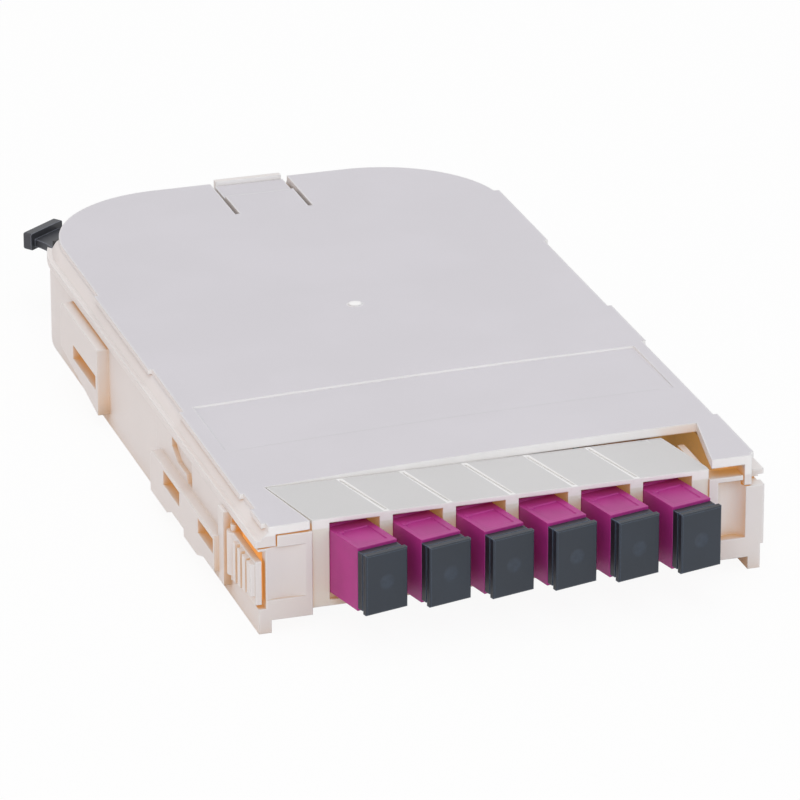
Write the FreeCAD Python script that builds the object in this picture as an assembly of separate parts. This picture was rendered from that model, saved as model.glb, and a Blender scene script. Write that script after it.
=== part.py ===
import FreeCAD, Part
import math
import os

# Pre-terminated fibre cassette: a flat moulded tray with a snap cover, six turned duplex
# couplers across the front, and one multi-fibre coupler set at an angle in the rear left
# corner.  Twelve tight-buffered fibres join the two.
#
# Millimetres, Z up, X to the right seen from the front, Y from front to back.
# Every shape is modelled with Y = 0 on the front face of the coupler frame.  The export
# moves it so that the origin is the centre of the tray's underside.

V = FreeCAD.Vector

# ------------------------------------------------------------------ driving dimensions
# housing
cover_half = 50.2            # half width of the cover's top plate
cover_length = 184.2         # front face to the rear edge of the cover's top plate
corner_r = 28.0              # rear corner radius of the cover's top plate
flange_out = 2.7             # how far the cover's outward flange stands past the plate
wall_out = 2.1               # how far the tray wall stands past the cover's plate
wall = 2.0                   # tray wall
floor = 2.0                  # tray floor
wall_top = 18.4              # height of the tray wall
cover_top = 22.65            # height of the cover's top face
cover_t = 1.8                # cover plate
flange_t = 1.5               # cover flange
skirt_t = 1.5                # cover skirt
fit = 0.3                    # clearance between parts that lift or slide past each other
touch = 0.05                 # clearance between parts that locate each other
origin_depth = 92.0          # front face to the middle of the underside

# coupler frame
coupler_count = 6
coupler_pitch = 13.0
coupler_turn = 13.5          # degrees, couplers turned to the right
opening_w = 10.3
opening_bottom = 5.3
opening_top = 21.7
frame_bottom = 4.0
frame_wall = 1.6             # front plate of the coupler frame
bay_depth = 18.2             # how far the bay tops reach back
frame_side = 3.55            # frame beyond the outer openings
bay_line = 0.5               # width and depth of the line between two bays
bay_line_end = 0.9           # plain ends of that line
bay_lean = 3.2               # how much the right face of each mouth closes towards the back
side_lean = 0.85             # share of the couplers' turn that the right end of the frame follows
seat_lip = 0.6               # seats under the couplers' flanges reach past them

# duplex coupler (local Y = 0 where its axis crosses the front face, negative is outside)
coupler_z = 13.5             # height of the coupler's axis
coupler_w = 8.9
coupler_h = 13.3
coupler_shift = -0.45        # axis crosses the front face left of the opening's middle
coupler_out = 9.4            # reach in front of the frame
coupler_in = 13.0            # reach behind the front face
coupler_flange_h = 14.4
coupler_flange_y = 2.4       # front of the mid flange behind the front face
coupler_flange_t = 1.6
coupler_flange_out = 0.15    # mid flange beyond the body's sides
coupler_panel = 0.18         # depth of the panels in the coupler's top and underside
panel_front = 1.2            # plain edges round those panels
panel_side = 1.0
panel_ridge = 1.4
panel_rear = 0.8
nib_size = 1.2
port_pitch = 6.25            # two ports, one above the other
port_w = 7.0                 # port size across, with its latch slot
port_h = 4.9                 # port height
port_wall = 2.0              # web between the outer and the inner port
sleeve_od = 3.2
sleeve_id = 2.5
sleeve_len = 11.0

# dust cap of the duplex coupler
cap_w = 9.4
cap_h = 12.7
cap_plate_t = 1.3
cap_groove = 0.8             # groove between the plate and the base
cap_groove_in = 0.9
cap_base_t = 1.7             # base against the coupler's face
cap_base_in = 0.3            # base set in from the plate
cap_plug = 8.0               # plug length inside the port
cap_plug_gap = 0.25          # plug to port
cap_dish_d = 3.4             # shallow dish in the middle of the plate
cap_bore_gap = 0.3           # bore of the plug around the sleeve
cap_bore_start = 2.5
cap_bevel = 0.25
cap_dish_deep = 0.12

# inner plugs and fibres
plug_w = 6.2
plug_h = 4.5
plug_len = 14.0
plug_seat = 7.0              # how deep a plug sits in its port
boot_d = 3.0
boot_len = 9.0
ferrule_d = 2.46
ferrule_tip = 0.4            # ferrules end this far from the coupler's middle
plug_body_w = 4.8
latch_t = 1.1
latch_h = 2.6
boot_wall = 0.4
straight_run = 22.0          # straight length of a fibre at each end
fibre_d = 0.9
fan_pitch = 2.0              # spacing of the fibres at the fan-out block
fan_w = 15.0
fan_len = 12.0
fan_h = 10.5
fan_to_rear = 86.2           # front of the fan-out block to the cover's rear edge
fan_x = -2.0                 # middle of the fan-out block
fan_nose = 6.0               # tapered nose that the bundle leaves by

# multi-fibre coupler in the rear left corner
multi_turn = 37.3            # degrees between its axis and the rear direction
multi_z = 13.1               # height of its axis
multi_w = 17.0
multi_h = 9.4
multi_in = 19.0              # reach inside the wall's outer face
multi_out = 0.7              # reach outside the wall's outer face
multi_port_w = 12.9
multi_port_h = 8.2
multi_plug_w = 12.4
multi_plug_h = 7.7
multi_plug_len = 22.0
multi_boot_d = 6.4
multi_boot_len = 14.0
bundle_d = 3.0
grip_w = 11.2                # plate of the pull-off cap
grip_h = 3.9
grip_t = 2.4
grip_reach = 11.5            # from the wall's outer face to the plate's outer face
grip_rise = 1.5              # plate above the coupler's axis
grip_neck_w = 8.4            # neck at the plate and at its root
grip_root_w = 14.6
grip_neck_h = 1.7
grip_neck_drop = 0.5         # neck below the middle of the plate
grip_flare = 0.25            # share of the flare reached half way along the neck

# front ears, feet and side rails
ear_front = -0.4             # front face of the ears
ear_t = 2.4
ear_bottom = 2.7
ear_top = 20.55
ear_depth = 18.0             # side cheek behind the ear
foot_w = 2.6
rail_out = 2.6               # guide rail beyond the tray wall
rail_bottom = 2.6
rail_bevel = 1.5             # slanted upper rear corner of a guide rail
rail_window = (7.8, 11.0)    # lower and upper edge of the windows in the guide rails
rear_rail_gap = 14.7         # rear guide rail ends this far in front of the corner's curve
rear_rail_len = 30.5
rear_rail_top = 17.4
rear_rail_rise = 4.4         # its underside rises this much towards the rear
rear_window = (1.6, 20.2)    # window in it, from its front end
front_rail = (22.0, 69.4)    # front guide rail from front to rear
front_rail_top = 12.0
front_rail_lift = 1.7        # its underside above the underside of its two teeth
front_teeth = ((29.5, 34.7, 44.4), (53.1, 57.0, 69.4))
front_windows = ((22.8, 33.8), (47.4, 59.4))
step_out = 0.4               # thicker front part of the side wall: reach and rear edge
step_rear = 72.4
hook_front = 45.3            # hooked catch recess below the wall's top
hook_rear = 60.2
hook_low = 12.2
hook_lip = 0.6               # wall left above it
hook_deep = 1.0
hook_hole = 1.7
front_step = 5.6             # front edge of the raised floor behind the ears' face
spool_wall = 1.5             # bend-limiting rings: wall, then gap to the side wall, depth, radius
spool_slit = 5.0
spool_places = ((5.3, 130.0, 15.0), (6.3, 84.0, 11.0))
post_d = 4.0
post_places = ((36.0, 54.0), (-36.0, 112.0), (8.0, 160.0))
inner_clear = 1.0            # spools and posts end this far below the wall's top
cradle_wall = 1.55           # cheeks beside the fan-out block
cradle_inset = 3.0
cradle_rise = 5.0
catch_t = 1.5                # bar behind the snap tongue
catch_drop = 3.0
catch_up = 1.2
dimple_d = 26.0              # soft dimple of the left ear
dimple_deep = 0.7
dimple_low = 7.0
post_w = 3.9                 # outer post of the right ear, beyond the wall's face by its reach
post_out = 0.65
pocket_deep = 2.4            # upright finger pocket of the right ear
pocket_web = 1.9
pocket_low = 7.0
pocket_lip = 1.0
shelf_z = 15.0               # web that closes the gap beside the last bay
shelf_t = 1.5
ear_web = 1.4                # web of the ear beside the coupler frame
ear_back = 2.2               # thickening behind the pocket
leg_out = 1.6                # leg behind the lever: reach, front and width
leg_front = 18.6
leg_w = 3.8
lever_top = 15.4             # top edge of the release lever
lever_bottom = 6.2
lever_t = 1.3
lever_proud = 0.6            # lever's outer face beyond the tray wall
lever_gap = 0.9              # slot around the lever
lever_top_gap = 2.2          # slot above the lever
lever_stroke = 0.8           # free travel of the lever's front end
lever_pin_y = 16.2           # front face to the lever's pin
lever_pin_d = 1.6
lever_pin_gap = 0.05
lever_hub = 0.8              # wall of the lever round its pin
lever_inset = 0.2            # lever's front edge behind the ear's face
lever_room = 2.0             # slot behind the pin
pin_bury = 0.5               # how far the pin's ends stand in the cheek
rib_count = 4
rib_pitch = 3.5
rib_w = 2.5
rib_out = 1.0

# cover details
label_front = 38.0           # label recess, front and rear edge
label_rear = 62.2
label_inset = 2.6
label_deep = 0.45
notch_flare = 3.9            # how much wider the cover's front cut-out is at the back
snap_half = 7.9              # half width of the rear snap tongue
snap_slot = 1.0
snap_root = 164.2
snap_step = 175.8
snap_drop = 0.7
snap_hollow = 4.0            # the tongue is thin from here to its tip
tab_out = 0.85
left_tabs = ((84.0, 127.0), (16.7, 60.4), (1.6, 9.0))
right_tabs = ((127.0, 160.4), (64.4, 85.7), (1.0, 21.8))
slope_out = 1.6              # slanted foot of the cover's skirt
slope_h = 1.55
wing = (3.2, 12.0)           # wider stretch of the right flange, its start and end
wing_out = 1.2
wing_t = 1.1
relief_half = 16.5           # half width over the rear coupler that the flange is left out
gate_up = 0.2
tab_t = 1.1
gate_d = 3.0
gate_back = 52.2

# ------------------------------------------------------------------ derived sizes
frame_half = (coupler_count - 1) / 2 * coupler_pitch + opening_w / 2 + frame_side
ear_inner = frame_half + touch
ear_outer = cover_half + wall_out
side_inner = ear_outer - wall
fan_front = cover_length - fan_to_rear
notch_front_half = frame_half + fit
notch_rear_half = notch_front_half + notch_flare
notch_rear = bay_depth + fit
lever_x = ear_outer + lever_proud - lever_t / 2


# ------------------------------------------------------------------ small helpers
def box(x0, x1, y0, y1, z0, z1):
    """Box between two corners."""
    low = V(min(x0, x1), min(y0, y1), min(z0, z1))
    return Part.makeBox(abs(x1 - x0), abs(y1 - y0), abs(z1 - z0), low)


def rod(diameter, length, base, direction=V(0, 0, 1)):
    """Cylinder from base along direction."""
    return Part.makeCylinder(diameter / 2, length, base, direction)


def prism(points, z0, z1):
    """Upright prism on a polygon of (x, y) points."""
    corners = [V(x, y, z0) for x, y in points]
    face = Part.Face(Part.makePolygon(corners + corners[:1]))
    return face.extrude(V(0, 0, z1 - z0))


def side_prism(points, x0, x1):
    """Prism along X on a polygon of (y, z) points."""
    corners = [V(x0, y, z) for y, z in points]
    face = Part.Face(Part.makePolygon(corners + corners[:1]))
    return face.extrude(V(x1 - x0, 0, 0))


def mirrored(shape):
    """The same shape on the other side of the middle plane."""
    return shape.mirror(V(0, 0, 0), V(1, 0, 0))


def plan(half, rear, radius, front, z0, z1):
    """Plate with a straight front and two rounded rear corners."""
    arc_y = rear - radius
    arc_x = half - radius
    lean = radius * math.sqrt(0.5)
    left_mid = V(-arc_x - lean, arc_y + lean, z0)
    right_mid = V(arc_x + lean, arc_y + lean, z0)
    edges = [
        Part.LineSegment(V(half, front, z0), V(half, arc_y, z0)).toShape(),
        Part.Arc(V(half, arc_y, z0), right_mid, V(arc_x, rear, z0)).toShape(),
        Part.LineSegment(V(arc_x, rear, z0), V(-arc_x, rear, z0)).toShape(),
        Part.Arc(V(-arc_x, rear, z0), left_mid, V(-half, arc_y, z0)).toShape(),
        Part.LineSegment(V(-half, arc_y, z0), V(-half, front, z0)).toShape(),
        Part.LineSegment(V(-half, front, z0), V(half, front, z0)).toShape(),
    ]
    return Part.Face(Part.Wire(edges)).extrude(V(0, 0, z1 - z0))


def offset_plan(out, front, z0, z1):
    """Plate whose outline lies a given distance outside the cover's plate."""
    return plan(cover_half + out, cover_length + out, corner_r + out, front, z0, z1)


def coupler_x(index):
    """Where the axis of a coupler crosses the front face."""
    return (index - (coupler_count - 1) / 2) * coupler_pitch + coupler_shift


def into_bay(shape, index):
    """Move a shape from the coupler's own frame to its bay."""
    placed = shape.copy()
    placed.rotate(V(0, 0, 0), V(0, 0, 1), coupler_turn)
    placed.translate(V(coupler_x(index), 0, coupler_z))
    return placed


def into_corner(shape):
    """Move a shape from the multi-fibre coupler's own frame to the rear left corner."""
    placed = shape.copy()
    reach = corner_r + wall_out
    lean = math.radians(multi_turn)
    centre = V(-(cover_half - corner_r), cover_length - corner_r, multi_z)
    placed.rotate(V(0, 0, 0), V(0, 0, 1), multi_turn)
    placed.translate(centre + V(-math.sin(lean), math.cos(lean), 0) * reach)
    return placed


def tube_along(points, diameter, name):
    """Round tube along straight runs joined by tangent arcs as large as the runs allow."""
    edges = []
    radii = []
    start = points[0]
    for before, here, after in zip(points, points[1:], points[2:]):
        back = before - here
        ahead = after - here
        run = min(back.Length, ahead.Length)
        turn = math.pi - back.getAngle(ahead)
        trim = 0.45 * run
        radius = trim / math.tan(turn / 2)
        radii.append(radius)
        enter = here + V(back).normalize() * trim
        leave = here + V(ahead).normalize() * trim
        inward = (V(back).normalize() + V(ahead).normalize()).normalize()
        middle = here + inward * (math.hypot(radius, trim) - radius)
        edges.append(Part.LineSegment(start, enter).toShape())
        edges.append(Part.Arc(enter, middle, leave).toShape())
        start = leave
    edges.append(Part.LineSegment(start, points[-1]).toShape())
    spine = Part.Wire(edges)
    first = V(points[1] - points[0]).normalize()
    section = Part.Wire(Part.makeCircle(diameter / 2, points[0], first))
    tube = spine.makePipeShell([section], True, False)
    length = sum(edge.Length for edge in edges)
    ideal = math.pi * diameter ** 2 / 4 * length
    print(name, "smallest radius %.1f" % min(radii), "volume ratio %.4f" % (tube.Volume / ideal))
    return tube


def export(name, shape):
    """Write one node about the centre of the underside."""
    moved = shape.copy()
    moved.translate(V(0, -origin_depth, 0))
    moved.exportStep("parts/" + name + ".step")
    print(name, "solids", len(moved.Solids), "valid", moved.isValid(), "volume %.1f" % moved.Volume)


# ------------------------------------------------------------------ tray
def tray_shell():
    """Floor and walls, open towards the coupler frame."""
    front = ear_front + ear_t
    outer = offset_plan(wall_out, ear_depth, 0, wall_top)
    inner = offset_plan(wall_out - wall, front - 1, floor, wall_top + 1)
    shell = outer.cut(inner)
    return shell


def tray_front_floor():
    """Floor under the couplers, raised to the frame's underside."""
    half = ear_outer - wall
    slab = box(-half, half, front_step, ear_depth + floor, frame_bottom - floor, frame_bottom)
    ramp = box(-half, half, ear_depth, ear_depth + floor, 0, frame_bottom)
    return slab.fuse(ramp)


def ear(side):
    """Front ear with its finger recess, side cheek and foot, on the left as built."""
    plate = box(-ear_outer, -ear_inner, ear_front, ear_front + ear_t, ear_bottom, ear_top)
    corner = box(-ear_outer - 1, -cover_half + skirt_t + fit, ear_front - 1, ear_depth,
                 wall_top - fit, ear_top + 1)
    cheek = box(-ear_outer, -ear_outer + foot_w, ear_front, ear_depth + 1, 0, wall_top - fit)
    inner = box(-ear_inner - ear_web, -ear_inner, ear_front, bay_depth, ear_bottom, ear_top)
    body = plate.fuse([cheek, inner]).cut(corner)
    if side == "left":
        middle = -(ear_outer + ear_inner) / 2
        dimple = rod(dimple_d, wall_top - dimple_low - fit,
                     V(middle, ear_front + dimple_deep - dimple_d / 2, dimple_low))
        return body.cut(dimple)
    return finger_pocket(body.fuse(ear_post()), corner)


def ear_post():
    """Wide outer post of the right ear, on the left as built."""
    outer = -ear_outer - post_out
    return box(outer, outer + post_w, ear_front, ear_front + ear_t, lever_bottom - lever_gap,
               wall_top - fit)


def finger_pocket(body, corner):
    """Thickened ear with an upright pocket between its web and its post."""
    y0 = ear_front + ear_t
    post = -ear_outer - post_out + post_w
    back = box(post, -ear_inner, y0, y0 + ear_back, ear_bottom, ear_top)
    x0 = post
    x1 = -ear_inner - pocket_web
    half = (x1 - x0) / 2
    radius = (half ** 2 + pocket_deep ** 2) / (2 * pocket_deep)
    hollow = rod(2 * radius, ear_top - pocket_lip - pocket_low,
                 V(x0 + half, ear_front + pocket_deep - radius, pocket_low))
    return body.fuse(back.cut(corner)).cut(hollow)


def corner_shelf():
    """Web beside the last bay, under the open corner of the cover's cut-out."""
    lean = math.tan(math.radians(coupler_turn)) * side_lean
    rear = bay_depth + fit
    return prism([(ear_inner + ear_web / 2, frame_wall + fit), (ear_inner - touch, frame_wall + fit),
                  (frame_half - rear * lean + fit, rear), (ear_inner + ear_web / 2, rear)],
                 shelf_z, shelf_z + shelf_t)


def lever_pocket(side):
    """Space in the cheek and ear that frees the release lever, on the left as built."""
    out = ear_outer + 1
    low = lever_bottom - lever_gap
    high = lever_top + lever_top_gap
    behind = ear_front + ear_t
    inner = -lever_x + lever_t / 2
    room = box(-out, inner + lever_gap + lever_stroke, behind, lever_pin_y + lever_room, low, high)
    if side == "right":
        return room
    gate = box(-out, inner + lever_stroke, ear_front - 1, behind, low, high)
    return room.fuse(gate)


def rear_rail():
    """Rear guide rail on the left wall with its window."""
    y1 = cover_length - corner_r - rear_rail_gap
    y0 = y1 - rear_rail_len
    face = -ear_outer - rail_out
    top = rear_rail_top
    solid = side_prism([(y0, rail_bottom), (y1, rail_bottom + rear_rail_rise),
                        (y1, top - rail_bevel), (y1 - rail_bevel, top), (y0, top)],
                       face, -ear_outer + wall / 4)
    front, rear = rear_window
    hole = box(face - 1, -ear_outer - 0.2, y0 + front, y0 + rear, *rail_window)
    return solid.cut(hole)


def front_guide():
    """Front guide rail on the left wall with two teeth below and two windows."""
    front, rear = front_rail
    low = rail_bottom + front_rail_lift
    outline = [(front, front_rail_top), (front, low)]
    for toe, heel, back in front_teeth:
        outline += [(toe, low), (heel, rail_bottom), (back, rail_bottom), (back, low)]
    outline = outline[:-1] + [(rear, front_rail_top - rail_bevel),
                              (rear - rail_bevel, front_rail_top)]
    face = -ear_outer - rail_out
    solid = side_prism(outline, face, -ear_outer + wall / 4)
    for window in front_windows:
        solid = solid.cut(box(face - 1, -ear_outer - step_out - 0.2, *window, *rail_window))
    return solid


def side_rails():
    """Guide rails, the leg behind the lever and the thicker part of the left wall."""
    leg = box(-ear_outer - leg_out, -ear_outer + wall / 4, leg_front, leg_front + leg_w,
              rail_bottom, wall_top)
    step = box(-ear_outer - step_out, -ear_outer + wall / 4, ear_depth + 5, step_rear, 0.6,
               wall_top)
    return leg.fuse([step, rear_rail(), front_guide()])


def hook_recess():
    """Hooked catch recess in the left wall."""
    face = -ear_outer - step_out
    top = wall_top - hook_lip
    outline = [(hook_front, top), (hook_front, hook_low), (hook_front + 3.1, hook_low),
               (hook_front + 4.3, hook_low + 1.6), (hook_rear - 4.0, hook_low + 1.6),
               (hook_rear, hook_low + 3.6), (hook_rear, top)]
    recess = side_prism(outline, face - 1, face + hook_deep)
    hole = side_prism([(hook_front, hook_low), (hook_front + 3.1, hook_low),
                       (hook_front + 1.2, hook_low + 2.7), (hook_front, hook_low + 2.7)],
                      face - 1, face + hook_hole)
    return recess.fuse(hole)


def spools():
    """Bend-limiting walls and clips on the tray floor."""
    top = wall_top - inner_clear
    pieces = []
    for gap, y, radius in spool_places:
        x = side_inner - gap - radius
        ring = rod(2 * radius, top - floor, V(x, y, floor))
        ring = ring.cut(rod(2 * (radius - spool_wall), top, V(x, y, floor)))
        gaps = box(x - radius, x + radius, y - spool_slit / 2, y + spool_slit / 2, floor, top + 1)
        pieces.append(ring.cut(gaps))
    for x, y in post_places:
        pieces.append(rod(post_d, top - floor, V(x, y, floor)))
    return pieces


def fan_cradle():
    """Two upright cheeks and a pad that carry the fan-out block."""
    half = fan_w / 2
    low = coupler_z - fan_h / 2
    y0 = fan_front + cradle_inset
    y1 = fan_front + fan_len - cradle_inset
    pad = box(fan_x - half, fan_x + half, y0, y1, floor, low)
    cheeks = []
    for side in (-1, 1):
        inside = fan_x + side * (half + touch)
        cheeks.append(box(inside, inside + side * cradle_wall, y0, y1, floor, low + cradle_rise))
    return [pad] + cheeks


def corner_cradle():
    """Pad under the multi-fibre coupler, in the coupler's own frame."""
    return box(-multi_w / 2, multi_w / 2, -multi_in + 2, -wall, floor - multi_z - 0.01,
               -multi_h / 2)


def corner_window():
    """Hole in the rear corner for the multi-fibre coupler, in the coupler's own frame."""
    gap = touch
    return box(-multi_w / 2 - gap, multi_w / 2 + gap, -wall - 9.0, multi_out + 6.0,
               -multi_h / 2 - gap, multi_h / 2 + gap)


def rear_catch():
    """Upright bar behind the cover's snap tongue."""
    half = snap_half - fit
    y0 = cover_length + fit
    bar = box(-half, half, y0, y0 + catch_t, wall_top - catch_drop, cover_top + catch_up)
    root = box(-half, half, y0 - 4, y0 + wall_out - fit, wall_top - catch_drop, wall_top)
    return bar.fuse(root.common(offset_plan(wall_out, 0, 0, wall_top)))


def tray():
    """The one-piece base moulding."""
    body = tray_shell().fuse(tray_front_floor())
    left = ear("left")
    right = mirrored(ear("right"))
    body = body.fuse([left, right, corner_shelf()])
    rails = side_rails()
    body = body.fuse([rails, mirrored(rails)])
    body = body.cut(lever_pocket("left")).cut(mirrored(lever_pocket("right")))
    recess = hook_recess()
    body = body.cut(recess).cut(mirrored(recess))
    body = body.cut(into_corner(corner_window()))
    body = body.fuse(spools() + fan_cradle() + [into_corner(corner_cradle()), rear_catch()])
    for side in (-1, 1):
        body = body.fuse(lever_root(side))
    return body.removeSplitter()


def lever_root(side):
    """Upright pin that the release lever turns on, across the slot in the cheek."""
    low = lever_bottom - lever_gap - pin_bury
    high = lever_top + lever_gap + pin_bury
    return rod(lever_pin_d, high - low, V(side * lever_x, lever_pin_y, low))


# ------------------------------------------------------------------ release levers
def release_lever(side):
    """Side lever with finger ribs, on the left as built."""
    outer = -lever_x - lever_t / 2
    y0 = ear_front + lever_inset if side < 0 else ear_front + ear_t + fit
    arm = box(outer, outer + lever_t, y0, lever_pin_y, lever_bottom, lever_top)
    hub = rod(lever_pin_d + 2 * lever_hub, lever_top - lever_bottom,
              V(-lever_x, lever_pin_y, lever_bottom))
    body = arm.fuse(hub)
    for index in range(rib_count):
        y = y0 + 0.1 + index * rib_pitch
        low = lever_bottom + 0.3 + 0.55 * (rib_count - 1 - index)
        rib = box(outer - rib_out, outer + lever_t / 6, y, y + rib_w - 0.3 * index, low,
                  lever_top - 0.5)
        body = body.fuse(rib)
    bore = rod(lever_pin_d + 2 * lever_pin_gap, 30.0, V(-lever_x, lever_pin_y, 0))
    body = body.cut(bore).removeSplitter()
    return body if side < 0 else mirrored(body)


# ------------------------------------------------------------------ coupler frame
def coupler_frame():
    """Front frame with six turned bays."""
    half = frame_half
    lean = math.tan(math.radians(coupler_turn))
    top = cover_top
    block = box(-half, half, 0, bay_depth, frame_bottom, top)
    for index in range(coupler_count):
        middle = (index - (coupler_count - 1) / 2) * coupler_pitch
        mouth = box(middle - opening_w / 2, middle + opening_w / 2, -1, frame_wall,
                    opening_bottom, opening_top)
        channel_half = coupler_w / 2 + fit
        channel = box(-channel_half, channel_half, -6, bay_depth + 12,
                      opening_bottom - coupler_z, opening_top - coupler_z)
        channel = into_bay(channel, index)
        channel = channel.common(box(-99, 99, frame_wall - 1, bay_depth + 20, 0, 40))
        right = prism([(middle + opening_w / 2, -1), (middle + opening_w / 2, frame_wall),
                       (middle + opening_w / 2 - bay_lean, bay_depth), (middle, bay_depth),
                       (middle, -1)], opening_bottom, opening_top)
        block = block.cut(mouth).cut(channel).cut(right)
    for index in range(coupler_count - 1):
        x = (index - (coupler_count - 2) / 2) * coupler_pitch + 0.2
        back = x - bay_depth * lean
        near = bay_line_end
        far = bay_depth - bay_line_end
        line = prism([(x - bay_line / 2, near), (x + bay_line / 2, near),
                      (back + bay_line / 2, far), (back - bay_line / 2, far)],
                     top - bay_line, top + 1)
        block = block.cut(line)
    right_trim = prism([(half + 1, -1), (half + 1, bay_depth + 1),
                        (half - bay_depth * lean * side_lean, bay_depth + 1),
                        (half, frame_wall), (half, -1)], opening_bottom, top + 1)
    wing_back = notch_rear_half - fit
    wing = prism([(-half, 0), (-half + 2, 0), (-half + 2, bay_depth), (-wing_back, bay_depth)],
                 ear_top + fit, top)
    block = block.cut(right_trim).fuse(wing)
    seats = []
    for index in range(coupler_count):
        low = coupler_z - coupler_flange_h / 2
        seat = box(-coupler_w / 2, coupler_w / 2, coupler_flange_y - seat_lip,
                   coupler_flange_y + coupler_flange_t + seat_lip,
                   opening_bottom - 0.5 - coupler_z, low - coupler_z)
        seats.append(into_bay(seat, index))
    return block.fuse(seats).removeSplitter()


# ------------------------------------------------------------------ duplex couplers
def coupler():
    """Duplex coupler body in its own frame."""
    w = coupler_w / 2
    h = coupler_h / 2
    body = box(-w, w, -coupler_out, coupler_in, -h, h)
    rim = coupler_panel
    y0 = -coupler_out + panel_front
    y1 = -panel_rear
    for z in (h, -h):
        inset = box(-w + panel_side, w - panel_ridge, y0, y1, z - rim, z + rim)
        body = body.cut(inset)
    half = w + coupler_flange_out
    flange = box(-half, half, coupler_flange_y, coupler_flange_y + coupler_flange_t,
                 -coupler_flange_h / 2, coupler_flange_h / 2)
    nib = box(-w + 0.6, -w + 0.6 + nib_size, y1 - nib_size + 0.3, y1 + 0.3, h - rim, h + 0.15)
    body = body.fuse([flange, nib])
    for z in (-port_pitch / 2, port_pitch / 2):
        outer = box(-port_w / 2, port_w / 2, -coupler_out - 1, -port_wall / 2,
                    z - port_h / 2, z + port_h / 2)
        inner = box(-port_w / 2, port_w / 2, port_wall / 2, coupler_in + 1,
                    z - port_h / 2, z + port_h / 2)
        hole = rod(sleeve_od + 2 * touch, port_wall + 2, V(0, -port_wall / 2 - 1, z), V(0, 1, 0))
        body = body.cut(outer).cut(inner).cut(hole)
    return body.removeSplitter()


def sleeves():
    """The pair of split-free alignment sleeves of one coupler."""
    solids = []
    for z in (-port_pitch / 2, port_pitch / 2):
        start = V(0, -sleeve_len / 2, z)
        tube = rod(sleeve_od, sleeve_len, start, V(0, 1, 0))
        solids.append(tube.cut(rod(sleeve_id, sleeve_len, start, V(0, 1, 0))))
    return Part.makeCompound(solids)


def dust_cap():
    """Pull-off cap: plate, set-back neck and two plugs."""
    y0 = -coupler_out
    y1 = y0 - cap_base_t
    y2 = y1 - cap_groove
    face = y2 - cap_plate_t
    base = box(-cap_w / 2 + cap_base_in, cap_w / 2 - cap_base_in, y1, y0 - touch,
               -cap_h / 2 + cap_base_in, cap_h / 2 - cap_base_in)
    neck = box(-cap_w / 2 + cap_groove_in, cap_w / 2 - cap_groove_in, y2, y1,
               -cap_h / 2 + cap_groove_in, cap_h / 2 - cap_groove_in)
    plate = box(-cap_w / 2, cap_w / 2, face, y2, -cap_h / 2, cap_h / 2)
    rim = [edge for edge in plate.Edges if abs(edge.CenterOfMass.y - plate.BoundBox.YMin) < 0.01]
    plate = plate.makeChamfer(cap_bevel, rim)
    body = plate.fuse([neck, base])
    plug_half = port_w / 2 - cap_plug_gap
    plug_rise = port_h / 2 - cap_plug_gap
    for z in (-port_pitch / 2, port_pitch / 2):
        plug = box(-plug_half, plug_half, y0 - 0.5, y0 + cap_plug, z - plug_rise, z + plug_rise)
        bore = rod(sleeve_od + 2 * cap_bore_gap, cap_plug, V(0, y0 + cap_bore_start, z),
                   V(0, 1, 0))
        body = body.fuse(plug.cut(bore))
    ball_r = ((cap_dish_d / 2) ** 2 + cap_dish_deep ** 2) / (2 * cap_dish_deep)
    ball = Part.makeSphere(ball_r, V(0, face + cap_dish_deep - ball_r, 0))
    return body.cut(ball).removeSplitter()


def inner_plug(z):
    """Fibre plug in the rear port of a coupler, with its boot and ferrule."""
    front = coupler_in - plug_seat
    left = -plug_w / 2
    right = left + plug_body_w
    housing = box(left, right, front, front + plug_len, z - plug_h / 2, z + plug_h / 2)
    latch = box(right, right + latch_t, front + 1, front + plug_len,
                z - latch_h / 2, z + latch_h / 2)
    boot = Part.makeCone(boot_d / 2 + boot_wall, fibre_d / 2 + boot_wall, boot_len,
                         V(0, front + plug_len, z), V(0, 1, 0))
    ferrule = rod(ferrule_d, front - ferrule_tip, V(0, ferrule_tip, z), V(0, 1, 0))
    return housing.fuse([latch, boot, ferrule]).removeSplitter()


# ------------------------------------------------------------------ fibres and fan-out
def fan_out():
    """Block that splits the bundle into single fibres."""
    half = fan_w / 2
    low = coupler_z - fan_h / 2
    body = box(fan_x - half, fan_x + half, fan_front, fan_front + fan_len, low, low + fan_h)
    rear = fan_front + fan_len
    nose = Part.makeCone(4.0, bundle_d / 2 + 0.8, fan_nose, V(fan_x, rear, multi_z), V(0, 1, 0))
    return body.fuse(nose).removeSplitter()


def fibre_route(index, row):
    """Points of one fibre from its plug's boot to the fan-out block."""
    turn = math.radians(coupler_turn)
    boot_end = coupler_in - plug_seat + plug_len + boot_len
    z = coupler_z + (row - 0.5) * port_pitch
    start_x = coupler_x(index) - boot_end * math.sin(turn)
    start_y = boot_end * math.cos(turn)
    slot = (index - (coupler_count - 1) / 2) * fan_pitch
    end = V(fan_x + slot, fan_front, z)
    start = V(start_x, start_y, z)
    first = start + V(-math.sin(turn), math.cos(turn), 0) * straight_run
    second = end - V(0, 1, 0) * straight_run
    return [start, first, second, end]


def bundle_route():
    """Points of the bundle: straight back from the fan-out block, then onto the plug's axis."""
    turn = math.radians(multi_turn)
    outward = V(-math.sin(turn), math.cos(turn), 0)
    centre = V(-(cover_half - corner_r), cover_length - corner_r, multi_z)
    depth = multi_plug_start() + multi_plug_len + multi_boot_len
    plug_end = centre + outward * (corner_r + wall_out - depth)
    back = (fan_x - plug_end.x) / -outward.x
    bend = plug_end - outward * back
    return [V(fan_x, fan_front + fan_len + fan_nose, multi_z), bend, plug_end]


def multi_plug_start():
    """How deep behind the wall's outer face the inner multi-fibre plug begins."""
    return multi_in / 2 + 1.0


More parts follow.
